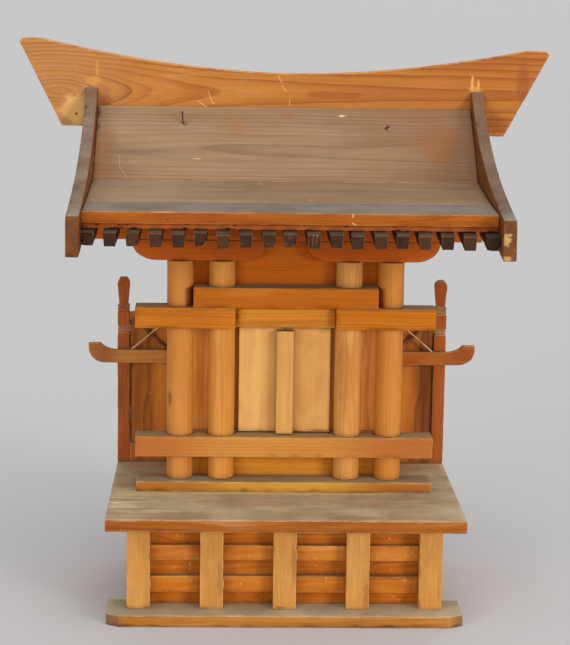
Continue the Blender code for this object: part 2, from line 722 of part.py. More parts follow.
def build_nail(root, woods):
    """Nail left standing out of the upper roof board, its foot cut to the slope."""
    bm = bmesh.new()
    last = None
    head_z = NAIL_LENGTH - NAIL_HEAD_THICK
    rings = ((0.0, NAIL_RADIUS), (head_z, NAIL_RADIUS), (head_z, NAIL_HEAD_RADIUS),
             (NAIL_LENGTH, NAIL_HEAD_RADIUS))
    for height, radius in rings:
        ring = []
        for i in range(NAIL_SIDES):
            turn = 2 * math.pi * i / NAIL_SIDES
            x, y = radius * math.cos(turn), radius * math.sin(turn)
            foot = y * math.tan(UPPER_SLOPE) if last is None else 0.0
            ring.append(bm.verts.new((x, y, height + foot)))
        if last is None:
            bm.faces.new(ring[::-1])
        else:
            for i in range(NAIL_SIDES):
                j = (i + 1) % NAIL_SIDES
                bm.faces.new((last[i], last[j], ring[j], ring[i]))
        last = ring
    bm.faces.new(last)
    mesh = bpy.data.meshes.new("roof_nail")
    bm.to_mesh(mesh)
    bm.free()
    nail = add("roof_nail", mesh, woods["nail"], root,
               (NAIL_X, NAIL_Y, roof_top(NAIL_Y) + 2 * GAP))
    nail.rotation_euler = (0, NAIL_LEAN, 0)


def main():
    for thing in list(bpy.data.objects):
        bpy.data.objects.remove(thing, do_unlink=True)
    woods = {
        "base": wood("base wood", (0.42, 0.27, 0.14)),
        "post": wood("post wood", (0.56, 0.30, 0.10)),
        "slat": wood("slat wood", (0.52, 0.22, 0.06)),
        "platform": wood("platform wood", (0.40, 0.23, 0.11)),
        "beam": wood("beam wood", (0.56, 0.20, 0.03)),
        "column": wood("column wood", (0.68, 0.34, 0.10)),
        "bracket": wood("bracket wood", (0.42, 0.10, 0.01)),
        "wall": wood("wall wood", (0.55, 0.24, 0.06)),
        "upper_wall": wood("upper wall wood", (0.46, 0.13, 0.02)),
        "door": wood("door wood", (0.70, 0.38, 0.13)),
        "side": wood("side screen wood", (0.52, 0.21, 0.05)),
        "side_post": wood("side post wood", (0.30, 0.10, 0.03)),
        "brace": wood("brace wood", (0.50, 0.26, 0.10)),
        "rafter": wood("rafter wood", (0.12, 0.06, 0.03)),
        "eave": wood("eave wood", (0.52, 0.19, 0.03)),
        "roof": wood("roof wood", (0.28, 0.17, 0.09)),
        "barge": wood("bargeboard wood", (0.26, 0.17, 0.10)),
        "ridge": wood("ridge wood", (0.50, 0.22, 0.06)),
        "nail": iron("rusty nail", (0.05, 0.035, 0.03)),
    }
    root = bpy.data.objects.new("shrine", None)
    root.location = (0, -shrine_middle_y, 0)
    bpy.context.scene.collection.objects.link(root)
    build_pedestal(root, woods)
    build_platform(root, woods)
    build_columns(root, woods)
    build_beams(root, woods)
    build_eave_support(root, woods)
    build_sanctuary(root, woods)
    build_doors(root, woods)
    build_side_screens(root, woods)
    build_rafters(root, woods)
    build_roof_boards(root, woods)
    build_bargeboards(root, woods)
    build_ridge(root, woods)
    build_nail(root, woods)


main()
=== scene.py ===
"""Looks of the household shrine: aged softwood under dust, on a pale studio floor.

Metres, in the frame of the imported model: +Z up, the front looks along -Y. Every wood is
worked out in the log that its board was sawn from: rings round a pith, fibres along it.
"""
import json
import math
from functools import partial

import bmesh
import bpy
from mathutils import Matrix, Vector, noise

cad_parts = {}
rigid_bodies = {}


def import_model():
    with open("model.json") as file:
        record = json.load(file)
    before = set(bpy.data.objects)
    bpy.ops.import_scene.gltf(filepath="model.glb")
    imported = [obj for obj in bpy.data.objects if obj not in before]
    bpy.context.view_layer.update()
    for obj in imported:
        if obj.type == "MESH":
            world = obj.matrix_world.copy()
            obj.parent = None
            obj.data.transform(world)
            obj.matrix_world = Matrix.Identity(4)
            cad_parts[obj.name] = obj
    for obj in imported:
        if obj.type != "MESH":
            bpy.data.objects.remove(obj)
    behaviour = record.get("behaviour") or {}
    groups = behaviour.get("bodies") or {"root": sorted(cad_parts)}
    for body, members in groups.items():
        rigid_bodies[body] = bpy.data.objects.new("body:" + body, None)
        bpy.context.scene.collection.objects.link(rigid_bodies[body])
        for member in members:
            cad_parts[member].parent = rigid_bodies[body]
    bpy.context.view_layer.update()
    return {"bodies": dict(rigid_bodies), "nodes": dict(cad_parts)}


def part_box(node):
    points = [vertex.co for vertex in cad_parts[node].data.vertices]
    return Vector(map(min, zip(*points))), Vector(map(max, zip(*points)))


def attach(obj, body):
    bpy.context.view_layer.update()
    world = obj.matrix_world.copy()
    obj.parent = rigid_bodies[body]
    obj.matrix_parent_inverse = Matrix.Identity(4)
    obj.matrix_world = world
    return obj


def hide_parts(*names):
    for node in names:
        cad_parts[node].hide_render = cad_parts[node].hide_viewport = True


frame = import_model()
nodes = frame["nodes"]

# Camera, measured in the photograph
CAMERA_PLACE = (-0.0520, -1.5974, 0.5454)
CAMERA_DOWN = math.radians(10.093)
CAMERA_RIGHT = math.radians(1.735)
CAMERA_ROLL = math.radians(0.817)
FOCAL_PIXELS = 2000.0
PHOTO_HEIGHT = 645
SENSOR = 24.0
FARTHEST_SEEN = 200.0


def camera_axes():
    """Forward, right and up of the camera, with its roll."""
    forward = Vector((math.sin(CAMERA_RIGHT) * math.cos(CAMERA_DOWN),
                      math.cos(CAMERA_RIGHT) * math.cos(CAMERA_DOWN), -math.sin(CAMERA_DOWN)))
    level = forward.cross(Vector((0, 0, 1))).normalized()
    upright = level.cross(forward)
    right = level * math.cos(CAMERA_ROLL) + upright * math.sin(CAMERA_ROLL)
    up = upright * math.cos(CAMERA_ROLL) - level * math.sin(CAMERA_ROLL)
    return forward, right, up


def build_camera():
    """The photograph's camera, placed from the platform's front edge and from the floor."""
    forward, right, up = camera_axes()
    x, y, z = CAMERA_PLACE
    place = Vector((x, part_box("platform_board")[0].y + y, z))
    lens = bpy.data.cameras.new("camera")
    lens.sensor_fit = "VERTICAL"
    lens.sensor_height = SENSOR
    lens.lens = FOCAL_PIXELS / PHOTO_HEIGHT * SENSOR
    lens.clip_end = FARTHEST_SEEN
    camera = bpy.data.objects.new("camera", lens)
    rotation = Matrix((right, up, -forward)).transposed()
    camera.matrix_world = Matrix.Translation(place) @ rotation.to_4x4()
    bpy.context.scene.collection.objects.link(camera)
    bpy.context.scene.camera = camera


# Colours
def linear(colour):
    """Colour given in 0 to 255, as a screen shows it, in linear light."""
    shares = [channel / 255.0 for channel in colour]
    return tuple(s / 12.92 if s <= 0.04045 else ((s + 0.055) / 1.055) ** 2.4 for s in shares)


# Studio
FLOOR_REACH = 60.0
FLOOR_DROP = 0.0002
FLOOR_TONE = (0.66, 0.65, 0.64)
SKY_TONE = (0.93, 0.95, 1.0)
SKY_STRENGTH = 0.46


def build_floor():
    """A pale floor to the horizon, a hair under the object's feet."""
    mesh = bpy.data.meshes.new("studio_floor")
    corners = [(-1, -1), (1, -1), (1, 1), (-1, 1)]
    mesh.from_pydata([(x * FLOOR_REACH, y * FLOOR_REACH, -FLOOR_DROP) for x, y in corners],
                     [], [(0, 1, 2, 3)])
    material = bpy.data.materials.new("pale floor")
    material.use_nodes = True
    shader = material.node_tree.nodes["Principled BSDF"]
    shader.inputs["Base Color"].default_value = (*FLOOR_TONE, 1.0)
    shader.inputs["Roughness"].default_value = 0.9
    shader.inputs["Specular IOR Level"].default_value = 0.2
    mesh.materials.append(material)
    floor = bpy.data.objects.new("studio_floor", mesh)
    bpy.context.scene.collection.objects.link(floor)


def far_softbox(name, right_of_front, height, spread, strength, colour):
    """A soft light from far away, its bearing, height and spread in degrees."""
    light = bpy.data.lights.new(name, "SUN")
    light.angle = math.radians(spread)
    light.energy = strength
    light.color = colour
    lamp = bpy.data.objects.new(name, light)
    bearing = math.radians(right_of_front)
    rise = math.radians(height)
    source = Vector((math.sin(bearing) * math.cos(rise), -math.cos(bearing) * math.cos(rise),
                     math.sin(rise)))
    lamp.rotation_euler = (-source).to_track_quat("-Z", "Y").to_euler()
    bpy.context.scene.collection.objects.link(lamp)


def build_lights():
    """Two broad lights from the front, one from above, a weak one from behind and the sky."""
    far_softbox("key_light", right_of_front=42.0, height=10.0, spread=18.0, strength=1.50,
                colour=(1.0, 0.975, 0.94))
    far_softbox("fill_light", right_of_front=-36.0, height=8.0, spread=26.0, strength=1.00,
                colour=(1.0, 0.98, 0.95))
    far_softbox("top_light", right_of_front=10.0, height=66.0, spread=50.0, strength=0.90,
                colour=(1.0, 1.0, 1.0))
    far_softbox("rear_light", right_of_front=170.0, height=30.0, spread=40.0, strength=0.35,
                colour=(0.95, 0.97, 1.0))
    world = bpy.data.worlds.new("studio")
    world.use_nodes = True
    background = world.node_tree.nodes["Background"]
    background.inputs["Color"].default_value = (*SKY_TONE, 1.0)
    background.inputs["Strength"].default_value = SKY_STRENGTH
    bpy.context.scene.world = world


# Shader building: a Mix node's colour sockets share their names, so they go by number
MIX_COLOURS = (6, 7)
MIX_RESULT = 2


class Graph:
    """Node tree of one material, with short ways to add the nodes that the woods use."""

    def __init__(self, name):
        self.material = bpy.data.materials.new(name)
        self.material.use_nodes = True
        self.tree = self.material.node_tree
        self.shader = self.tree.nodes["Principled BSDF"]
        self.place = self.tree.nodes.new("ShaderNodeTexCoord").outputs["Object"]
        geometry = self.tree.nodes.new("ShaderNodeNewGeometry")
        self.normal = geometry.outputs["Normal"]

    def put(self, socket, value):
        """Link another node's socket, or set a constant."""
        if isinstance(value, bpy.types.NodeSocket):
            self.tree.links.new(value, socket)
        else:
            socket.default_value = value

    def math(self, operation, *values):
        made = self.tree.nodes.new("ShaderNodeMath")
        made.operation = operation
        for socket, value in zip(made.inputs, values):
            self.put(socket, value)
        return made.outputs[0]

    def vector(self, operation, *values):
        made = self.tree.nodes.new("ShaderNodeVectorMath")
        made.operation = operation
        for socket, value in zip(made.inputs, values):
            self.put(socket, value)
        number = operation in {"LENGTH", "DISTANCE", "DOT_PRODUCT"}
        return made.outputs["Value" if number else "Vector"]

    def split(self, vector):
        made = self.tree.nodes.new("ShaderNodeSeparateXYZ")
        self.put(made.inputs[0], vector)
        return made.outputs

    def join(self, x, y, z):
        made = self.tree.nodes.new("ShaderNodeCombineXYZ")
        for socket, value in zip(made.inputs, (x, y, z)):
            self.put(socket, value)
        return made.outputs[0]

    def noise(self, vector, scale, detail=2.0, rough=0.5):
        made = self.tree.nodes.new("ShaderNodeTexNoise")
        self.put(made.inputs["Vector"], vector)
        made.inputs["Scale"].default_value = scale
        made.inputs["Detail"].default_value = detail
        made.inputs["Roughness"].default_value = rough
        return made.outputs["Fac"]

    def span(self, value, low, high, out_low=0.0, out_high=1.0):
        """Value between low and high, spread smoothly between the two out values."""
        made = self.tree.nodes.new("ShaderNodeMapRange")
        made.interpolation_type = "SMOOTHSTEP"
        for socket, number in zip(made.inputs, (value, low, high, out_low, out_high)):
            self.put(socket, number)
        return made.outputs[0]

    def chance(self, number):
        """A number from 0 to 1 that is the same for the same whole number."""
        made = self.tree.nodes.new("ShaderNodeTexWhiteNoise")
        made.noise_dimensions = "1D"
        self.put(made.inputs["W"], number)
        return made.outputs["Value"]

    def ramp(self, value, *stops):
        """Grey that runs straight from stop to stop, each (position, grey)."""
        made = self.tree.nodes.new("ShaderNodeValToRGB")
        self.put(made.inputs[0], value)
        elements = made.color_ramp.elements
        while len(elements) < len(stops):
            elements.new(0.5)
        for element, (position, grey) in zip(elements, stops):
            element.position = position
            element.color = (grey, grey, grey, 1.0)
        return made.outputs[0]

    def mix(self, factor, first, second, blend="MIX"):
        """The first colour turned to the second, or multiplied by it, by the factor."""
        made = self.tree.nodes.new("ShaderNodeMix")
        made.data_type = "RGBA"
        made.blend_type = blend
        self.put(made.inputs[0], factor)
        for index, value in zip(MIX_COLOURS, (first, second)):
            linked = isinstance(value, bpy.types.NodeSocket)
            self.put(made.inputs[index], value if linked else (*value, 1.0))
        return made.outputs[MIX_RESULT]

    def blob(self, centre, radii, soft, ragged, fineness):
        """1 inside an ellipsoid with a ragged edge of the given fineness, 0 outside it."""
        inverse = tuple(1.0 / radius for radius in radii)
        away = self.vector("MULTIPLY", self.vector("SUBTRACT", self.place, centre), inverse)
        fray = self.math("SUBTRACT", self.noise(self.place, fineness, 3.0, 0.6), 0.5)
        reach = self.math("MULTIPLY_ADD", fray, ragged * 2.0, self.vector("LENGTH", away))
        return self.span(reach, 1.0, 1.0 - soft)

    def stroke(self, start, end, width):
        """1 on a thin line between two points, 0 away from it."""
        run = Vector(end) - Vector(start)
        away = self.vector("SUBTRACT", self.place, tuple(start))
        along = self.vector("DOT_PRODUCT", away, tuple(run / run.length_squared))
        along = self.math("MAXIMUM", self.math("MINIMUM", along, 1.0), 0.0)
        foot = self.vector("MULTIPLY", self.join(along, along, along), tuple(run))
        return self.span(self.vector("DISTANCE", away, foot), width, width * 0.35)

    def band(self, axis, low, high, soft):
        """1 between two places along an axis, fading out over the soft length."""
        value = self.split(self.place)[axis]
        rising = self.span(value, low - soft, low + soft)
        return self.math("MULTIPLY", rising, self.span(value, high + soft, high - soft))

    def bump(self, height, depth):
        """Relief of the given depth on the finished surface."""
        made = self.tree.nodes.new("ShaderNodeBump")
        made.inputs["Distance"].default_value = depth
        self.put(made.inputs["Height"], height)
        self.put(self.shader.inputs["Normal"], made.outputs[0])


# Wood: the axes across and along each grain, and how fine its noises are across and along
ACROSS = {"X": (1, 2, 0), "Y": (0, 2, 1), "Z": (0, 1, 2)}
DRIFTS = (18.0, 18.0, 3.5)
KNOT_DRIFTS = (16.0, 30.0, 55.0)
SMEARS = (62.0, 62.0, 9.0)
FIBRES = (700.0, 700.0, 15.4)
PORES = 820.0

# A year from its early to its late wood, as (share of the ring, lateness)
SEASON = ((0.0, 0.25), (0.10, 0.0), (0.45, 0.15), (0.84, 0.85), (0.95, 1.0), (1.0, 0.35))
STAIN_SHARES = (0.80, 0.62, 0.45)
GRAIN_DEPTH = 0.00016
ROUGHNESS = 0.52
SPECULAR = 0.18
# Painted shade and dirt in corners multiply the colour by this
SHADE_AND_GRIME_TINT = (0.42, 0.30, 0.22)
DUST = (166, 153, 128)
ARRIS = "arris"


def log_place(graph, grain, pith, tilt, wander):
    """Place in the log: two coordinates across it from the pith and one along it."""
    parts = graph.split(graph.vector("SUBTRACT", graph.place, pith))
    first, second, along = [parts[axis] for axis in ACROSS[grain]]
    first = graph.math("MULTIPLY_ADD", along, tilt[0], first)
    second = graph.math("MULTIPLY_ADD", along, tilt[1], second)
    stretched = graph.vector("MULTIPLY", graph.join(first, second, along), DRIFTS)
    drift = graph.math("SUBTRACT", graph.noise(stretched, 1.0, 1.5), 0.5)
    sway = graph.math("SUBTRACT", graph.noise(stretched, 2.3, 1.0), 0.5)
    first = graph.math("MULTIPLY_ADD", drift, wander, first)
    second = graph.math("MULTIPLY_ADD", sway, wander, second)
    return first, second, along


def knot_place(graph, centre, spread, settle, wander):
    """Place in a log whose rings close round a knot and run level far to its right."""
    x, _, z = graph.split(graph.vector("SUBTRACT", graph.place, centre))
    reach = graph.math("DIVIDE", x, settle)
    root = graph.math("SQRT", graph.math("MULTIPLY_ADD", reach, reach, 1.0))
    first = graph.math("DIVIDE", graph.math("MULTIPLY", x, spread), root)
    stretched = graph.vector("MULTIPLY", graph.place, KNOT_DRIFTS)
    drift = graph.math("SUBTRACT", graph.noise(stretched, 1.0, 2.0), 0.5)
    second = graph.math("MULTIPLY_ADD", drift, wander, z)
    return first, second, x


def ring_lateness(graph, first, second, ring, season):
    """0 in the pale early wood of a year, 1 in its dark late wood."""
    radius = graph.vector("LENGTH", graph.join(first, second, 0.0))
    years = graph.math("DIVIDE", radius, ring)
    uneven = graph.noise(graph.join(0.0, 0.0, years), 0.6, 1.0)
    years = graph.math("MULTIPLY_ADD", uneven, 1.8, years)
    strength = graph.noise(graph.join(7.0, 0.0, years), 0.9, 1.0)
    late = graph.ramp(graph.math("FRACT", years), *season)
    return graph.math("MULTIPLY", late, graph.span(strength, 0.30, 0.62, 0.30, 1.0))


def toned(graph, colour, place, streaks, stain, pale, tone, streak):
    """Broad smears, fine streaks and pores, darker and paler than the rings."""
    smear = graph.noise(graph.vector("MULTIPLY", place, SMEARS), 1.0, 4.0, 0.6)
    colour = graph.mix(graph.span(smear, 0.42, 0.72, 0.0, tone), colour, stain)
    colour = graph.mix(graph.span(smear, 0.44, 0.26, 0.0, tone * 0.45), colour, pale)
    colour = graph.mix(graph.span(streaks, 0.50, 0.78, 0.0, streak), colour, stain)
    colour = graph.mix(graph.span(streaks, 0.46, 0.26, 0.0, streak * 0.5), colour, pale)
    pores = graph.noise(graph.place, PORES, 2.0, 0.6)
    return graph.mix(graph.span(pores, 0.54, 0.70, 0.0, 0.22), colour, stain)


def saw_marks(graph, direction, pitch):
    """Ridges that a saw left, square to the given direction."""
    run = graph.vector("DOT_PRODUCT", graph.place, direction)
    shake = graph.noise(graph.place, 150.0, 3.0)
    turns = graph.math("MULTIPLY_ADD", run, math.tau / pitch, graph.math("MULTIPLY", shake, 9.0))
    wave = graph.math("MULTIPLY_ADD", graph.math("SINE", turns), 0.5, 0.5)
    return graph.math("MULTIPLY", wave, graph.span(graph.noise(graph.place, 70.0, 2.0), 0.35, 0.6))


def shade_and_grime(graph, colour, amount, reach):
    """Painted shade and dirt darken corners, gaps and recesses, by how closed in they are."""
    shelter = graph.tree.nodes.new("ShaderNodeAmbientOcclusion")
    shelter.samples = 6
    shelter.inputs["Distance"].default_value = reach
    closed = graph.span(shelter.outputs["AO"], 0.80, 0.30, 0.0, amount)
    return graph.mix(closed, colour, SHADE_AND_GRIME_TINT, "MULTIPLY")


def upward(graph):
    """1 on what faces up, 0 on what is steep."""
    return graph.span(graph.split(graph.normal)[2], 0.50, 0.93)


def dusted(graph, colour, streaks, amount, tint, bare):
    """Dust lies on what faces up, thinner where it was wiped and on the ridges of the grain."""
    patch = graph.noise(graph.vector("MULTIPLY", graph.place, (15.0, 40.0, 40.0)), 1.0, 5.0, 0.68)
    patch = graph.math("MULTIPLY_ADD", graph.math("SUBTRACT", streaks, 0.5), 0.45, patch)
    cover = graph.span(patch, 0.32, 0.60, bare, 1.0)
    factor = graph.math("MULTIPLY", graph.math("MULTIPLY", upward(graph), cover), amount)
    deep = graph.span(graph.noise(graph.place, 24.0, 4.0, 0.6), 0.36, 0.64)
    thick = linear(tint)
    thin = tuple(channel * 0.74 for channel in thick)
    return graph.mix(factor, colour, graph.mix(deep, thin, thick)), factor


def worn_and_highlit_arrises(graph, colour, pale, amount):
    """Arrises worn pale by handling, here and there; the pale also paints their highlights."""
    made = graph.tree.nodes.new("ShaderNodeAttribute")
    made.attribute_name = ARRIS
    edge = made.outputs["Fac"]
    broken = graph.span(graph.noise(graph.place, 48.0, 5.0, 0.7), 0.38, 0.58)
    factor = graph.math("MULTIPLY", graph.math("MULTIPLY", edge, broken), amount)
    return graph.mix(factor, colour, pale)


def wood(name, early, late, grain="X", pith=(0.0, 0.03, -0.06), ring=0.0016, tilt=(0.0, 0.0),
         wander=0.008, contrast=0.6, stain=None, tone=0.5, streak=0.30, dust=0.75,
         dust_tint=DUST, bare=0.5, worn=0.5, pale=(226, 178, 112), corner_shade_and_grime=0.75, reach=0.007,
         saw=None, scuffs=0.0, knot=None, season=SEASON, stains_and_shade=None, marks=None):
    """Aged softwood: rings, fibres, uneven tone, painted shade and dirt in corners, worn arrises,
    dust.

    A year runs from the early to the late colour over one ring; stain and pale are the
    darkest and the palest tone. The grain is the axis that the log lay along, the pith its
    middle, and tilt and wander are how far that leans and strays. A knot is (centre, spread,
    settle) and saw (direction, pitch, strength). Stains and painted shade lie under the dust,
    marks on it. The other numbers are strengths; the pale arrises are partly wear and partly
    painted highlight. The reach is how far from a corner the painted shade and dirt come.
    """
    graph = Graph(name)
    early, late, pale = linear(early), linear(late), linear(pale)
    stain = linear(stain) if stain else tuple(c * s for c, s in zip(late, STAIN_SHARES))
    if knot:
        first, second, along = knot_place(graph, *knot, wander)
    else:
        first, second, along = log_place(graph, grain, pith, tilt, wander)
    place = graph.join(first, second, along)
    lateness = ring_lateness(graph, first, second, ring, season)
    streaks = graph.noise(graph.vector("MULTIPLY", place, FIBRES), 1.0, 3.0, 0.65)
    colour = graph.mix(graph.math("MULTIPLY", lateness, contrast), early, late)
    colour = toned(graph, colour, place, streaks, stain, pale, tone, streak)
    height = graph.math("MULTIPLY_ADD", lateness, 0.4, streaks)
    if saw:
        direction, pitch, strength = saw
        ridges = saw_marks(graph, direction, pitch)
        colour = graph.mix(graph.math("MULTIPLY", ridges, strength), colour, stain)
        height = graph.math("MULTIPLY_ADD", ridges, -0.8, height)
    if scuffs:
        flecks = graph.span(graph.noise(graph.place, 210.0, 4.0, 0.7), 0.60, 0.72, 0.0, scuffs)
        colour = graph.mix(flecks, colour, pale)
    # Stains, and painted shade on the side panels and the left door
    if stains_and_shade:
        colour = stains_and_shade(graph, colour)
    # Painted shade and dirt in corners, gaps and recesses
    colour = shade_and_grime(graph, colour, corner_shade_and_grime, reach)
    # Pale arrises, partly wear and partly painted highlight
    if worn:
        colour = worn_and_highlit_arrises(graph, colour, pale, worn)
    colour, cover = dusted(graph, colour, streaks, dust, dust_tint, bare)
    if marks:
        colour = marks(graph, colour)
    graph.put(graph.shader.inputs["Base Color"], colour)
    rough = graph.math("MULTIPLY_ADD", streaks, 0.16, ROUGHNESS)
    graph.put(graph.shader.inputs["Roughness"], graph.math("MULTIPLY_ADD", cover, 0.25, rough))
    graph.shader.inputs["Specular IOR Level"].default_value = SPECULAR
    graph.bump(height, GRAIN_DEPTH)
    return graph.material


def rusty_iron():
    """Dark iron with brown rust in fine spots."""
    graph = Graph("rusty iron")
    rust = graph.noise(graph.place, 900.0, 4.0, 0.6)
    colour = graph.mix(graph.span(rust, 0.4, 0.62), linear((58, 50, 46)), linear((104, 66, 42)))
    graph.put(graph.shader.inputs["Base Color"], colour)
    graph.shader.inputs["Metallic"].default_value = 0.7
    graph.shader.inputs["Roughness"].default_value = 0.55
    graph.bump(rust, 0.0001)
    return graph.material


# Meshes with worn arrises in place of the plain solids
BODIES = {empty: label for label, empty in frame["bodies"].items()}
ARRIS_ANGLE = math.radians(30)
SMOOTH_ANGLE = math.radians(24)
FLAT_ANGLE = 0.005
TURN_ANGLE = 0.3
WELD = 0.000001
NEAR_PLANE = 0.00001
WARP = 0.00012
WARP_FINENESS = 42.0
DENT_FINENESS = 170.0


def cut_grid(work, pitch):
    """Cut the faces along planes the pitch apart, so that they can bend."""
    for axis in range(3):
        places = [vertex.co[axis] for vertex in work.verts]
        low, high = min(places), max(places)
        normal = [0.0, 0.0, 0.0]
        normal[axis] = 1.0
        for i in range(1, int((high - low) / pitch) + 1):
            point = [0.0, 0.0, 0.0]
            point[axis] = low + i * pitch
            geometry = work.verts[:] + work.edges[:] + work.faces[:]
            bmesh.ops.bisect_plane(work, geom=geometry, plane_co=point, plane_no=normal,
                                   dist=NEAR_PLANE)


def wear_down(name, material, pitch=0.005, arris=0.0007, dent=0.0007, lumps=(), lean=None):
    """Replace a solid by a finer copy with eased, dented arrises and slightly uneven faces.

    Lumps are (place, radius, push); lean gives each place its own offset. The shift gives
    each piece its own stretch of the noise.
    """
    work = bmesh.new()
    work.from_mesh(nodes[name].data)
    bmesh.ops.remove_doubles(work, verts=work.verts, dist=WELD)
    bmesh.ops.dissolve_limit(work, angle_limit=FLAT_ANGLE, verts=work.verts,
                             edges=work.edges)
    layer = work.faces.layers.float.new(ARRIS)
    sharp = [edge for edge in work.edges if len(edge.link_faces) == 2
             and edge.calc_face_angle() > ARRIS_ANGLE]
    eased = bmesh.ops.bevel(work, geom=sharp, offset=arris, segments=2, profile=0.5,
                            affect="EDGES", clamp_overlap=True)
    for face in eased["faces"]:
        face[layer] = 1.0
    cut_grid(work, pitch)
    work.normal_update()
    shift = Vector((sum(map(ord, name)) % 97, 0.0, 0.0))
    for vertex in work.verts:
        place = vertex.co.copy()
        vertex.co += noise.noise_vector(place * WARP_FINENESS + shift) * WARP
        turns = [edge.calc_face_angle(0.0) for edge in vertex.link_edges]
        if max(turns) > TURN_ANGLE:
            bite = max(0.0, noise.noise(place * DENT_FINENESS + shift) - 0.22)
            vertex.co -= vertex.normal * bite * dent * 1.8
        if lean:
            vertex.co += lean(place)
        for centre, radius, push in lumps:
            share = (place - Vector(centre)).length / radius
            if share < 1.0:
                vertex.co += Vector(push) * (1.0 - share * share) ** 2
    mesh = bpy.data.meshes.new(f"worn_{name}")
    work.to_mesh(mesh)
    work.free()
    mesh.polygons.foreach_set("use_smooth", [True] * len(mesh.polygons))
    mesh.set_sharp_from_angle(angle=SMOOTH_ANGLE)
    mesh.materials.append(material)
    piece = bpy.data.objects.new(f"worn_{name}", mesh)
    bpy.context.scene.collection.objects.link(piece)
    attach(piece, BODIES[nodes[name].parent])
    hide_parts(name)


def finish(material, *names, **wear):
    """Replace CAD nodes by worn copies of one wood."""
    for name in names:
        wear_down(name, material, **wear)


# Local marks, as steps that wood() takes: each gets the graph and the colour so far
SPOT_FRAY = 1.7  # how fine the ragged edge of a spot of 1 m is


def fade_ends(graph, colour, low, high, soft, tint, amount):
    """Another tone outside the stretch between two places along X."""
    ends = graph.math("SUBTRACT", 1.0, graph.band(0, low, high, soft))
    return graph.mix(graph.math("MULTIPLY", ends, amount), colour, linear(tint))


def paint_spots(graph, colour, spots, soft=0.6, ragged=0.8, fineness=None, where=None):
    """Ragged spots, each (centre, radii, tint, amount); the factor where thins them."""
    for centre, radii, tint, amount in spots:
        fray = fineness or SPOT_FRAY / max(radii)
        inside = graph.math("MULTIPLY", graph.blob(centre, radii, soft, ragged, fray), amount)
        if where:
            inside = graph.math("MULTIPLY", inside, where)
        colour = graph.mix(inside, colour, linear(tint))
    return colour


def scratch(graph, colour, lines, tint, width):
    """Broken scratches, each (start, end)."""
    broken = graph.span(graph.noise(graph.place, 420.0, 3.0, 0.6), 0.30, 0.52, 0.25, 0.85)
    for start, end in lines:
        line = graph.math("MULTIPLY", graph.stroke(start, end, width), broken)
        colour = graph.mix(line, colour, linear(tint))
    return colour


def on_front(y, depth, *flat):
    """Spots on a face that looks forward, from ((x, z), (width, height), tint, amount)."""
    return [((x, y, z), (width, depth, height), tint, amount)
            for (x, z), (width, height), tint, amount in flat]


def on_top(z, depth, *flat):
    """Spots on a face that looks up, from ((x, y), (width, length), tint, amount)."""
    return [((x, y, z), (width, length, depth), tint, amount)
            for (x, y), (width, length), tint, amount in flat]


def lines_on_front(y, *flat):
    """Scratches on a face that looks forward, from ((x, z), (x, z))."""
    return [((x, y, z), (far_x, y, far_z)) for (x, z), (far_x, far_z) in flat]


# Pedestal
POST_COUNT = 5
STAINED_POSTS = (2, 3, 4)
SPLINTER_HEIGHTS = {1: 0.0320, 2: 0.0320, 3: 0.0571}


def lifted_splinter(x, y, z):
    """Wood that stands off an arris, and the hollow above it that it left."""
    return (((x, y, z), 0.0045, (0.0011, -0.0003, 0.0)),
            ((x, y, z + 0.006), 0.003, (-0.0009, 0.0006, 0.0)))


def finish_base():
    finish(wood("base wood", (181, 119, 42), (145, 81, 24), "X", (0.1, 0.02, -0.05), ring=0.0021,
                dust=0.94, dust_tint=(202, 190, 156), bare=0.75, worn=0.6,
                stains_and_shade=partial(fade_ends, low=-0.138, high=0.142, soft=0.004,
                               tint=(128, 96, 66), amount=0.75)),
           "base_board", "rear_foot", dent=0.0009)


def finish_posts():
    for number in range(1, POST_COUNT + 1):
        name = f"pedestal_post_{number}"
        low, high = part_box(name)
        step = number - 1
        stain = on_front(low.y, 0.004, (
            (high.x - 0.002, 0.018 + 0.016 * (step % 3)), (0.004, 0.022), (150, 92, 44),
            0.45 if number in STAINED_POSTS else 0.2))
        lumps = ()
        if number in SPLINTER_HEIGHTS:
            lumps = lifted_splinter(high.x, low.y, SPLINTER_HEIGHTS[number])
        finish(wood(f"post wood {number}", (207, 147, 72), (184, 117, 50), "Z",
                    (0.05 + 0.031 * step, -0.11, 0.0), ring=0.0034, contrast=0.35,
                    wander=0.018, tone=0.42, stain=(169, 105, 44), dust=0.5, worn=0.85,
                    pale=(236, 190, 128), saw=((0.55, 0.0, 0.84), 0.0023, 0.18),
                    stains_and_shade=partial(paint_spots, spots=stain)),
               name, pitch=0.003, dent=0.0010, lumps=lumps)


def finish_boards():
    """Slats behind the posts and the boards round the inside of the pedestal."""
    # Thinner dust on the upper slat and the darker dust tint paint the shade under the platform on
    # its top edge; the rest is real dust
    for i, name in enumerate(("pedestal_slat_upper", "pedestal_slat_lower")):
        early = (211 - 5 * i, 132 - 8 * i, 42 - 13 * i)
        finish(wood(f"slat wood {i + 1}", early, (170, 87, 22), "X",
                    (-0.1 + 0.15 * i, 0.01, 0.02 + 0.03 * i), ring=0.0030, wander=0.016,
                    contrast=0.5, tone=0.65, streak=0.4, dust=0.55 + 0.4 * i,
                    dust_tint=(150, 134, 106), worn=0.5, scuffs=0.6), name)
    finish(wood("back board wood", (197, 109, 14), (149, 70, 6), "X", (0.05, 0.0, 0.01),
                ring=0.0032, wander=0.02, contrast=0.5, tone=0.65, scuffs=0.6),
           "pedestal_back_board")
    finish(wood("pedestal rear wood", (192, 112, 38), (148, 74, 18), "X", (0.05, 0.0, 0.01),
                ring=0.0032, wander=0.02, contrast=0.5, tone=0.5), "pedestal_rear_board")
    finish(wood("pedestal side wood", (192, 112, 38), (148, 74, 18), "Y", (0.03, 0.0, 0.01),
                ring=0.0032, wander=0.02, contrast=0.5, tone=0.5),
           "pedestal_side_left", "pedestal_side_right")


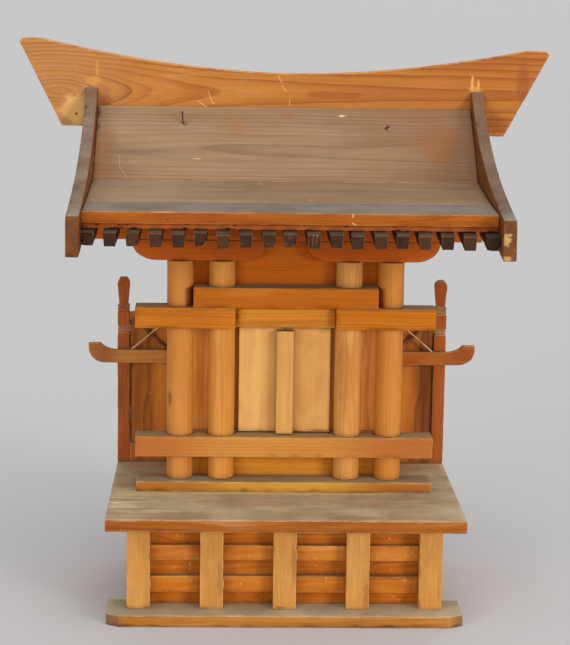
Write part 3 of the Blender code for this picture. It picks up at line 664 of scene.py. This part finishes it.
def platform_wear(graph, colour):
    """Rubbed and bare patches on the platform's top, and old glue in front of the sill."""
    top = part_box("platform_board")[1].z
    sill_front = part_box("sill_strip")[0].y
    lit = upward(graph)
    along = graph.vector("MULTIPLY", graph.place, (16.0, 120.0, 16.0))
    streaks = graph.span(graph.noise(along, 1.0, 4.0, 0.6), 0.47, 0.62)
    rubbed = on_top(top, 0.010,
                    ((-0.126, -0.042), (0.070, 0.050), (238, 216, 166), 0.95),
                    ((0.118, -0.036), (0.040, 0.020), (218, 196, 150), 0.60),
                    ((0.020, -0.050), (0.080, 0.030), (216, 198, 156), 0.50),
                    ((-0.150, 0.060), (0.016, 0.050), (138, 104, 68), 0.20),
                    ((0.150, 0.050), (0.016, 0.060), (138, 104, 68), 0.40))
    colour = paint_spots(graph, colour, rubbed, soft=0.9, ragged=0.5, fineness=90.0,
                         where=graph.math("MULTIPLY", streaks, lit))
    bare = on_top(top, 0.004,
                  ((0.055, -0.088), (0.028, 0.011), (146, 112, 74), 0.55),
                  ((-0.085, -0.090), (0.034, 0.008), (146, 112, 74), 0.30))
    colour = paint_spots(graph, colour, bare, soft=0.5, ragged=0.7, fineness=90.0, where=lit)
    glue = graph.math("MULTIPLY", graph.band(1, sill_front - 0.0080, sill_front, 0.0016),
                      graph.band(0, -0.130, 0.085, 0.025))
    broken = graph.span(graph.noise(graph.place, 130.0, 4.0, 0.6), 0.36, 0.56, 0.40, 1.0)
    glue = graph.math("MULTIPLY", graph.math("MULTIPLY", glue, lit), broken)
    return graph.mix(glue, colour, linear((228, 192, 124)))


def finish_platform():
    finish(wood("platform wood", (165, 91, 20), (125, 58, 12), "X", (0.0, -0.03, 0.05),
                ring=0.0030, wander=0.02, contrast=0.6, dust=0.92, bare=0.62,
                dust_tint=(206, 190, 152), worn=0.75, pale=(222, 182, 132), corner_shade_and_grime=0.5,
                marks=platform_wear), "platform_board", dent=0.0010)


# Body
COLUMN_TONES = ((207, 134, 58), (219, 149, 63), (221, 159, 82), (207, 134, 52))
COLUMN_STAINS = {
    "column_1": [((-0.0995, 0.0069, 0.1749), (0.0022, 0.006, 0.009), (140, 78, 36), 0.7)],
    "column_3": [((0.0505, 0.0043, 0.1900), (0.006, 0.006, 0.050), (178, 108, 56), 0.4)]}
BEAMS = (("mid_beam_left", 0.30, (207, 123, 24)), ("mid_beam_right", 0.33, (203, 116, 9)),
         ("upper_beam", 0.36, (191, 103, 3)), ("lintel", 0.28, (212, 137, 38)))


def finish_columns():
    for i, early in enumerate(COLUMN_TONES):
        name = f"column_{i + 1}"
        low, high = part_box(name)
        middle = (low + high) / 2.0
        finish(wood(f"column wood {i + 1}", early, (184, 107, 38), "Z",
                    (middle.x + 0.020 - 0.012 * i, middle.y + 0.045, 0.0), ring=0.0015,
                    tilt=(0.004 * (i - 1), 0.004), wander=0.006, contrast=0.55, tone=0.45,
                    stain=(188, 109, 40), dust=0.3, worn=0.25, pale=(230, 166, 96),
                    stains_and_shade=partial(paint_spots, spots=COLUMN_STAINS.get(name, ()))),
               name, pitch=0.012, arris=0.0005)


def finish_beams():
    for name, pith_height, early in BEAMS:
        finish(wood(f"{name} wood", early, (168, 84, 6), "X", (0.0, 0.07, pith_height),
                    ring=0.0017, contrast=0.55, wander=0.007, tone=0.42, stain=(160, 78, 6),
                    pale=(226, 160, 66), dust=0.95, dust_tint=(160, 150, 118), worn=0.6),
               name, dent=0.0009)
    finish(wood("rail wood", (207, 142, 59), (178, 108, 39), "X", (0.0, 0.05, 0.07),
                ring=0.0023, contrast=0.5, stain=(172, 100, 35), dust=0.95,
                dust_tint=(172, 154, 112), worn=0.8, scuffs=0.25,
                stains_and_shade=partial(fade_ends, low=-0.075, high=0.065, soft=0.040,
                               tint=(172, 92, 40), amount=0.70)),
           "lower_rail", dent=0.0010)
    finish(wood("sill wood", (206, 152, 56), (178, 117, 38), "X", (0.0, 0.03, 0.05),
                ring=0.0022, contrast=0.45, dust=0.95, worn=0.9, pale=(226, 186, 122),
                stains_and_shade=partial(fade_ends, low=-0.060, high=0.065, soft=0.030,
                               tint=(158, 84, 28), amount=0.75)),
           "sill_strip", dent=0.0010)
    finish(wood("bracket wood", (200, 93, 3), (156, 62, 2), "X", (0.0, 0.05, 0.36),
                ring=0.0030, contrast=0.4, stain=(158, 66, 3), dust=0.5, worn=0.3,
                pale=(214, 120, 34), scuffs=0.3),
           "bracket_arm_left", "bracket_arm_right", "eave_purlin")


def finish_walls():
    finish(wood("wall wood", (238, 162, 72), (194, 114, 44), "Z", (0.03, 0.2, 0.0), ring=0.0022,
                contrast=0.5, tone=0.5, dust=0.8, corner_shade_and_grime=0.5, reach=0.004),
           "front_wall_left", "front_wall_right")
    finish(wood("skirt wood", (212, 141, 37), (173, 100, 23), "X", (0.0, 0.12, 0.05),
                ring=0.0028, contrast=0.5, tone=0.5, dust=0.8), "skirt_board")
    finish(wood("upper wall wood", (212, 108, 3), (158, 71, 2), "X", (0.0, 0.14, 0.15),
                ring=0.0010, contrast=0.75, wander=0.002, tone=0.4, stain=(150, 62, 3),
                pale=(226, 150, 40), dust=0.6, worn=0.0), "upper_wall")
    finish(wood("hidden wood", (190, 112, 44), (150, 80, 26), "Z", (0.05, 0.2, 0.0),
                ring=0.0030, tone=0.5, dust=0.7),
           "side_wall_left", "side_wall_right", "back_wall", "sanctuary_floor")


def finish_doors():
    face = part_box("door_left")[0].y
    left_stains_and_batten_shadow = on_front(face, 0.004,
                           # The first spot is painted shadow of the batten on the left leaf; the
                           # second is a stain
                           ((-0.0150, 0.170), (0.007, 0.045), (192, 122, 64), 0.32),
                           ((-0.0330, 0.155), (0.006, 0.020), (196, 130, 72), 0.30))
    right_stains = on_front(face, 0.004,
                            ((0.0300, 0.186), (0.010, 0.024), (194, 122, 68), 0.28),
                            ((0.0150, 0.172), (0.007, 0.034), (190, 118, 62), 0.28),
                            ((0.0240, 0.222), (0.014, 0.010), (194, 124, 74), 0.26))
    finish(wood("left door wood", (232, 180, 104), (210, 151, 78), "Z", (0.02, 0.3, 0.0),
                ring=0.0014, contrast=0.4, wander=0.004, tone=0.36, stain=(204, 143, 72),
                dust=0.7, worn=0.3, pale=(240, 190, 122), corner_shade_and_grime=0.8,
                saw=((0.05, 0.0, 1.0), 0.0024, 0.22),
                stains_and_shade=partial(paint_spots, spots=left_stains_and_batten_shadow, soft=0.9, ragged=0.5)),
           "door_left")
    finish(wood("right door wood", (220, 164, 90), (197, 136, 66), "Z", (0.05, 0.3, 0.0),
                ring=0.0015, contrast=0.4, wander=0.004, tone=0.36, stain=(193, 130, 62),
                dust=0.7, worn=0.3, pale=(236, 184, 116), corner_shade_and_grime=0.8,
                saw=((0.03, 0.0, 1.0), 0.0021, 0.32),
                stains_and_shade=partial(paint_spots, spots=right_stains, soft=0.9, ragged=0.5)),
           "door_right")
    finish(wood("batten wood", (220, 162, 87), (198, 137, 67), "Z", (0.01, 0.1, 0.0),
                ring=0.0018, contrast=0.4, wander=0.004, tone=0.3, stain=(193, 129, 61),
                dust=0.95, dust_tint=(140, 124, 96), worn=0.4), "door_batten")


# Side screens
BAR_TONES = {"left": ((206, 138, 66), (158, 88, 34)), "right": ((180, 93, 10), (148, 71, 8))}
# Strength of the painted shade at each side panel's outer edge
PANEL_SHADE_AMOUNTS = {"left": 0.35, "right": 0.62}
BAR_END = 0.024


def finish_side_screen(label, side):
    low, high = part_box(f"side_panel_{label}")
    outer = high.x if side > 0 else low.x
    # Painted shade darkens each side panel towards its outer edge, the right one more, and a
    # painted glow lightens it further in
    shade_and_glow = on_front(low.y, 0.030,
                    ((outer - side * 0.003, 0.170), (0.016, 0.120), (92, 44, 15),
                     PANEL_SHADE_AMOUNTS[label]),
                    ((outer - side * 0.028, 0.165), (0.014, 0.080), (224, 142, 54), 0.60))
    finish(wood(f"panel wood {label}", (192, 114, 37), (129, 64, 19), "Z",
                (side * 0.125, 0.16, 0.0), ring=0.0040, wander=0.02, contrast=0.8, tone=0.6,
                stain=(123, 60, 19), dust=0.9, scuffs=0.35,
                stains_and_shade=partial(paint_spots, spots=shade_and_glow, soft=0.9, ragged=0.4)),
           f"side_bottom_rail_{label}", f"side_top_rail_{label}", f"side_panel_{label}")
    finish(wood(f"side post wood {label}", (184, 98, 35), (130, 60, 18), "Z",
                (side * 0.11, 0.15, 0.0), ring=0.0026, contrast=0.6, tone=0.5, dust=1.0,
                dust_tint=(158, 146, 124), worn=0.9, pale=(178, 142, 104), corner_shade_and_grime=1.0,
                reach=0.003), f"side_post_{label}", pitch=0.004, arris=0.0005)
    bar_low, bar_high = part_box(f"side_bar_{label}")
    low_end, high_end = ((bar_low.x + BAR_END, 0.3) if side < 0
                         else (-0.3, bar_high.x - BAR_END))
    finish(wood(f"bar wood {label}", *BAR_TONES[label], "X", (0.0, 0.07, 0.18), ring=0.0034,
                wander=0.018, contrast=0.5, tone=0.45, dust=0.95, worn=0.5,
                stains_and_shade=partial(fade_ends, low=low_end, high=high_end, soft=0.012,
                               tint=(140, 72, 34), amount=0.6)),
           f"side_bar_{label}")
    finish(wood(f"front brace wood {label}", (212, 184, 146), (170, 130, 90), "X",
                ring=0.003, dust=0.6, corner_shade_and_grime=0.3), f"cross_brace_{label}_front")
    # The rear brace's dark wood paints the shade that it lies in, on top of its own tone
    finish(wood(f"rear brace wood and painted shade {label}", (122, 76, 40), (84, 48, 24), "X",
                ring=0.003, dust=0.6), f"cross_brace_{label}_rear")


# Rafters: the row's width in pitches, then half a gap and half a rafter as shares of one
RAFTER_PITCHES = 18.62
GAP_SHARE = 0.19
HALF_SHARE = 0.31
RAFTER_RISE = math.tan(math.radians(7.7))
RAFTER_TAPER = 0.17
SPLIT_RAFTER_FRONT = -0.1073


def finish_rafters():
    """Rafters of many tones, a little out of line, and the fillet that they are glued to."""
    low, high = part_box("rafter_row")
    pitch = (high.x - low.x) / RAFTER_PITCHES
    first_gap = low.x - GAP_SHARE * pitch
    end_heights = [vertex.co.z for vertex in nodes["rafter_row"].data.vertices
                   if vertex.co.y < low.y + 0.004]
    top, bottom = max(end_heights), min(end_heights)
    fillet_foot = top + 0.0004

    def own_tones(graph, colour):
        x, y, z = graph.split(graph.place)
        own = graph.chance(graph.math("FLOOR", graph.math(
            "DIVIDE", graph.math("SUBTRACT", x, first_gap), pitch)))
        colour = graph.mix(graph.span(own, 0.55, 0.95, 0.0, 0.55), colour, linear((84, 49, 23)))
        colour = graph.mix(graph.span(own, 0.45, 0.05, 0.0, 0.55), colour, linear((51, 34, 22)))
        rise = graph.math("MULTIPLY", graph.math("SUBTRACT", y, low.y), RAFTER_RISE)
        above = graph.math("SUBTRACT", graph.math("SUBTRACT", z, fillet_foot), rise)
        fillet = graph.math("GREATER_THAN", above, 0.0)
        return graph.mix(fillet, colour, linear((176, 88, 26)))

    def out_of_line(place):
        if place.z > fillet_foot:
            return Vector()
        number = math.floor((place.x - first_gap) / pitch)
        chance = noise.cell_vector(Vector((number + 0.5, 3.5, 7.5)))
        depth = min(1.0, (top - place.z) / (top - bottom))
        taper = (low.x + (number + HALF_SHARE) * pitch - place.x) * RAFTER_TAPER
        near_end = min(1.0, max(0.0, (low.y + 0.040 - place.y) / 0.034))
        return near_end * Vector(((chance.x - 0.5) * 0.0016 + taper * depth,
                                  (chance.y - 0.5) * 0.0016, (chance.z - 0.62) * 0.0014))

    splits = lines_on_front(SPLIT_RAFTER_FRONT,
                            ((0.0180, 0.3340), (0.0172, 0.3255)),
                            ((0.0212, 0.3345), (0.0200, 0.3262)))
    finish(wood("rafter wood", (58, 33, 16), (38, 21, 10), "Y", (0.3, 0.0, 0.25), ring=0.0021,
                dust=0.7, dust_tint=(112, 94, 72), worn=0.8, pale=(158, 112, 66),
                tone=0.6, scuffs=0.45, corner_shade_and_grime=1.0, stains_and_shade=own_tones,
                marks=partial(scratch, lines=splits, tint=(204, 152, 84), width=0.0009)),
           "rafter_row", pitch=0.003, arris=0.0009, dent=0.0030, lean=out_of_line)


# Roof boards
ROOF_NORMAL = (0.0, -0.63, 0.78)
UPPER_MIDDLE = (0.0, 0.072, 0.384)
DRIVEN_NAIL = (0.0912, 0.0968, 0.4042)


def finish_eave():
    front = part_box("eave_board")[0].y

    def nicks(graph, colour):
        lines = lines_on_front(front, ((0.0497, 0.3500), (0.0500, 0.3478)),
                               ((0.0495, 0.3428), (0.0525, 0.3412)))
        colour = scratch(graph, colour, lines, tint=(232, 180, 110), width=0.0008)
        return paint_spots(graph, colour, on_front(
            front, 0.002,
            ((-0.1020, 0.3506), (0.022, 0.0010), (228, 170, 100), 0.8),
            ((-0.0990, 0.3440), (0.0015, 0.0015), (110, 56, 24), 0.8)))

    finish(wood("eave wood", (168, 89, 10), (136, 61, 6), "X", (0.1, -0.1, 0.30),
                ring=0.0034, wander=0.02, contrast=0.5, tone=0.8, stain=(132, 59, 11), dust=1.0,
                dust_tint=(146, 134, 120), worn=0.9, bare=0.85, pale=(222, 150, 70),
                marks=nicks), "eave_board", dent=0.0010)


def lower_roof_wear(graph, colour):
    """A pale broken line along the joint with the upper board, and a few spots."""
    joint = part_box("roof_board_upper")[0].y
    line = graph.math("MULTIPLY", graph.band(1, joint - 0.0030, joint + 0.02, 0.0009),
                      graph.band(0, -0.128, 0.14, 0.020))
    broken = graph.span(graph.noise(graph.place, 60.0, 5.0, 0.65), 0.36, 0.56, 0.25, 0.9)
    colour = fade_ends(graph, colour, low=-0.070, high=1.0, soft=0.050, tint=(190, 165, 136),
                       amount=0.30)
    colour = graph.mix(graph.math("MULTIPLY", line, broken), colour, linear((212, 186, 138)))
    return paint_spots(graph, colour, (
        ((-0.0223, 0.0295, 0.3599), (0.0022, 0.0016, 0.002), (226, 196, 146), 1.0),
        ((0.0185, -0.0348, 0.3539), (0.0034, 0.0016, 0.002), (220, 188, 136), 0.9),
        ((-0.0901, 0.0130, 0.3584), (0.0024, 0.0022, 0.002), (92, 78, 64), 0.8),
        ((0.0800, 0.0150, 0.3584), (0.0060, 0.0012, 0.002), (110, 84, 60), 0.6)))


def dark_wedge(graph, colour):
    """Dark wood that opens from a point near the upper board's left end."""
    point_x, middle_y, opening, length = -0.1620, 0.0695, 0.10, 0.095
    x, y, _ = graph.split(graph.place)
    run = graph.math("SUBTRACT", x, point_x)
    aside = graph.math("ABSOLUTE", graph.math("SUBTRACT", y, middle_y))
    outside = graph.math("SUBTRACT", aside, graph.math("MULTIPLY", run, opening))
    inside = graph.math("MULTIPLY", graph.span(outside, 0.0010, -0.0012),
                        graph.span(run, length, 0.012))
    return graph.mix(graph.math("MULTIPLY", inside, 0.55), colour, linear((112, 88, 68)))


def upper_roof_wear_and_dent_shade(graph, colour):
    """Chips, brown patches, painted dent shade round the nails, splinters and a crooked scratch.
    """
    colour = fade_ends(graph, colour, low=-1.0, high=0.085, soft=0.060, tint=(126, 80, 48),
                       amount=0.42)
    colour = paint_spots(graph, colour, (
        ((0.0513, 0.1083, 0.4136), (0.0042, 0.0016, 0.0016), (236, 208, 160), 1.0),
        ((-0.0780, 0.0640, 0.3780), (0.0050, 0.0012, 0.0012), (222, 190, 142), 0.8),
        # Painted shade in the dents round the driven nail and round the standing nail's foot
        (DRIVEN_NAIL, (0.0042, 0.0046, 0.0046), (70, 56, 46), 0.75),
        ((-0.0890, 0.0977, 0.4050), (0.0046, 0.0040, 0.0040), (96, 74, 58), 0.6),
        ((0.1350, 0.0800, 0.3900), (0.0300, 0.0300, 0.0260), (150, 96, 52), 0.50),
        ((-0.0450, 0.0980, 0.4050), (0.0120, 0.0220, 0.0220), (160, 108, 62), 0.42),
        ((-0.1620, 0.0700, 0.3830), (0.0140, 0.0400, 0.0400), (160, 106, 64), 0.45),
        ((0.0000, 0.1080, 0.4130), (0.0120, 0.0080, 0.0080), (150, 98, 60), 0.35)))
    splinters = (((-0.0925, 0.0975, 0.4048), (-0.0905, 0.0955, 0.4032)),
                 ((-0.0862, 0.0985, 0.4056), (-0.0878, 0.0958, 0.4034)),
                 ((0.0885, 0.0990, 0.4060), (0.0900, 0.0975, 0.4048)),
                 ((0.0940, 0.0972, 0.4045), (0.0926, 0.0950, 0.4028)))
    colour = scratch(graph, colour, splinters, tint=(206, 178, 138), width=0.00055)
    crooked = (((-0.1468, 0.0669, 0.3801), (-0.1458, 0.0560, 0.3712)),
               ((-0.1458, 0.0560, 0.3712), (-0.1387, 0.0448, 0.3622)))
    return scratch(graph, colour, crooked, tint=(198, 162, 112), width=0.00050)


def finish_roof_boards():
    finish(wood("lower roof wood", (162, 131, 98), (137, 103, 73), "X", (0.0, 0.02, 0.31),
                ring=0.0026, wander=0.012, contrast=0.9, tone=0.7, stain=(131, 92, 59),
                dust=0.3, dust_tint=(162, 141, 114), worn=0.0, pale=(196, 170, 134),
                corner_shade_and_grime=0.6, marks=lower_roof_wear), "roof_board_lower")
    depth, turn = 0.0195, 0.020
    pith = tuple(place - depth * part for place, part in zip(UPPER_MIDDLE, ROOF_NORMAL))
    finish(wood("upper roof wood", (163, 128, 94), (128, 94, 65), "X", pith, ring=0.0042,
                tilt=(-turn * ROOF_NORMAL[1], -turn * ROOF_NORMAL[2]), wander=0.008,
                contrast=0.95, tone=0.55, stain=(132, 91, 57), dust=0.25,
                dust_tint=(164, 148, 126), worn=0.0, pale=(194, 164, 128), corner_shade_and_grime=0.6,
                stains_and_shade=dark_wedge, marks=upper_roof_wear_and_dent_shade),
           "roof_board_upper")


# Bargeboards and ridge
BARGE_DUSTS = {"left": (150, 131, 112), "right": (134, 111, 92)}
BARGE_CHIPS = {"left": (), "right": (
    ((0.1708, 0.3345), (0.0052, 0.0062), (206, 164, 98), 0.95),
    ((0.1713, 0.3190), (0.0044, 0.0026), (200, 156, 92), 0.9),
    ((0.1735, 0.3365), (0.0030, 0.0008), (70, 48, 30), 0.9))}
RIDGE_KNOT = (-0.2029, 0.1168, 0.4333)
RIDGE_SEASON = ((0.0, 0.0), (0.35, 0.10), (0.75, 0.55), (0.93, 1.0), (1.0, 0.0))


def finish_bargeboard(label, side):
    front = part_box(f"bargeboard_{label}")[0].y

    def worn_end(graph, colour):
        near = graph.math("MULTIPLY", graph.band(1, -0.20, -0.104, 0.016), upward(graph))
        colour = graph.mix(graph.math("MULTIPLY", near, 0.6), colour, linear((164, 158, 136)))
        return paint_spots(graph, colour, on_front(front, 0.003, *BARGE_CHIPS[label]))

    finish(wood(f"bargeboard wood {label}", (122, 70, 33), (90, 49, 20), "Y",
                (side * 0.15, 0.0, 0.30), ring=0.0026, contrast=0.6, tone=0.5, dust=0.92,
                dust_tint=BARGE_DUSTS[label], worn=0.6, pale=(186, 138, 88),
                marks=worn_end), f"bargeboard_{label}", dent=0.0012)


def ridge_age(graph, colour):
    """Paler wood at the left end, browner wood at the right one, and brown patches."""
    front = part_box("ridge_board")[0].y
    colour = fade_ends(graph, colour, low=-0.150, high=1.0, soft=0.040, tint=(192, 146, 104),
                       amount=0.25)
    colour = fade_ends(graph, colour, low=-1.0, high=0.100, soft=0.060, tint=(166, 82, 26),
                       amount=0.24)
    return paint_spots(graph, colour, on_front(
        front, 0.010,
        ((-0.1880, 0.4140), (0.0190, 0.0230), (232, 182, 108), 0.68),
        ((-0.1960, 0.4050), (0.0060, 0.0050), (150, 98, 48), 0.45),
        ((0.0405, 0.4318), (0.0460, 0.0036), (150, 78, 28), 0.55),
        ((-0.1480, 0.4170), (0.0300, 0.0040), (150, 80, 32), 0.45),
        ((0.1800, 0.4630), (0.0700, 0.0110), (160, 84, 32), 0.40),
        ((0.1920, 0.4080), (0.0160, 0.0080), (150, 78, 30), 0.45),
        ((0.2150, 0.4380), (0.0080, 0.0300), (138, 70, 28), 0.45),
        ((-0.1620, 0.4230), (0.0080, 0.0120), (136, 66, 24), 0.55)))


def ridge_marks(graph, colour):
    """Bruises, a small hole and fine pale scratches on the ridge board's face."""
    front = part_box("ridge_board")[0].y
    colour = paint_spots(graph, colour, on_front(
        front, 0.006,
        ((-0.1690, 0.4540), (0.0022, 0.0110), (218, 150, 70), 0.60),
        ((-0.1730, 0.4420), (0.0100, 0.0050), (220, 154, 74), 0.55),
        ((0.1690, 0.4440), (0.0016, 0.0100), (234, 176, 92), 0.80),
        ((0.1745, 0.4420), (0.0014, 0.0085), (230, 170, 88), 0.75),
        ((0.1720, 0.4385), (0.0075, 0.0036), (226, 164, 84), 0.60)))
    colour = paint_spots(graph, colour, on_front(
        front, 0.004, ((-0.1876, 0.4123), (0.0022, 0.0012), (74, 46, 26), 0.90)))
    lines = lines_on_front(front,
                           ((-0.0689, 0.4337), (-0.0672, 0.4280)),
                           ((-0.0672, 0.4280), (-0.0649, 0.4228)),
                           ((-0.0649, 0.4228), (-0.0629, 0.4236)),
                           ((-0.0791, 0.4252), (-0.0706, 0.4197)),
                           ((-0.0066, 0.4490), (-0.0030, 0.4420)),
                           ((-0.0028, 0.4400), (0.0008, 0.4345)),
                           ((0.0040, 0.4262), (0.0044, 0.4222)))
    return scratch(graph, colour, lines, tint=(236, 186, 116), width=0.00048)


def finish_ridge():
    finish(wood("ridge wood", (192, 123, 51), (134, 68, 21), ring=0.0036,
                knot=(RIDGE_KNOT, 0.36, 0.080), contrast=1.10, wander=0.0050, tone=0.30,
                stain=(155, 88, 33), dust=0.5, worn=1.0, pale=(238, 190, 130),
                season=RIDGE_SEASON, stains_and_shade=ridge_age, marks=ridge_marks),
           "ridge_board", arris=0.0011, dent=0.0008)


# Nails
HEAD_RADIUS = 0.0018
HEAD_FLATNESS = 0.35


def drive_nail(iron):
    """Head of the nail that is driven nearly flush in the roof."""
    work = bmesh.new()
    bmesh.ops.create_uvsphere(work, u_segments=24, v_segments=12, radius=HEAD_RADIUS)
    turn = Vector(ROOF_NORMAL).to_track_quat("Z", "Y")
    for vertex in work.verts:
        flat = Vector((vertex.co.x, vertex.co.y, vertex.co.z * HEAD_FLATNESS))
        vertex.co = turn @ flat + Vector(DRIVEN_NAIL)
    mesh = bpy.data.meshes.new("driven_nail")
    work.to_mesh(mesh)
    work.free()
    mesh.materials.append(iron)
    head = bpy.data.objects.new("driven_nail", mesh)
    bpy.context.scene.collection.objects.link(head)
    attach(head, "shrine")


def finish_nails():
    """The nail that stands proud keeps its CAD shape; the driven one is added."""
    iron = rusty_iron()
    standing = nodes["roof_nail"].data
    standing.materials.clear()
    standing.materials.append(iron)
    drive_nail(iron)


SIDES = (("left", -1), ("right", 1))

build_camera()
build_floor()
build_lights()
finish_base()
finish_posts()
finish_boards()
finish_platform()
finish_columns()
finish_beams()
finish_walls()
finish_doors()
for label, side in SIDES:
    finish_side_screen(label, side)
finish_rafters()
finish_eave()
finish_roof_boards()
for label, side in SIDES:
    finish_bargeboard(label, side)
finish_ridge()
finish_nails()
bpy.context.scene.view_settings.view_transform = "Standard"
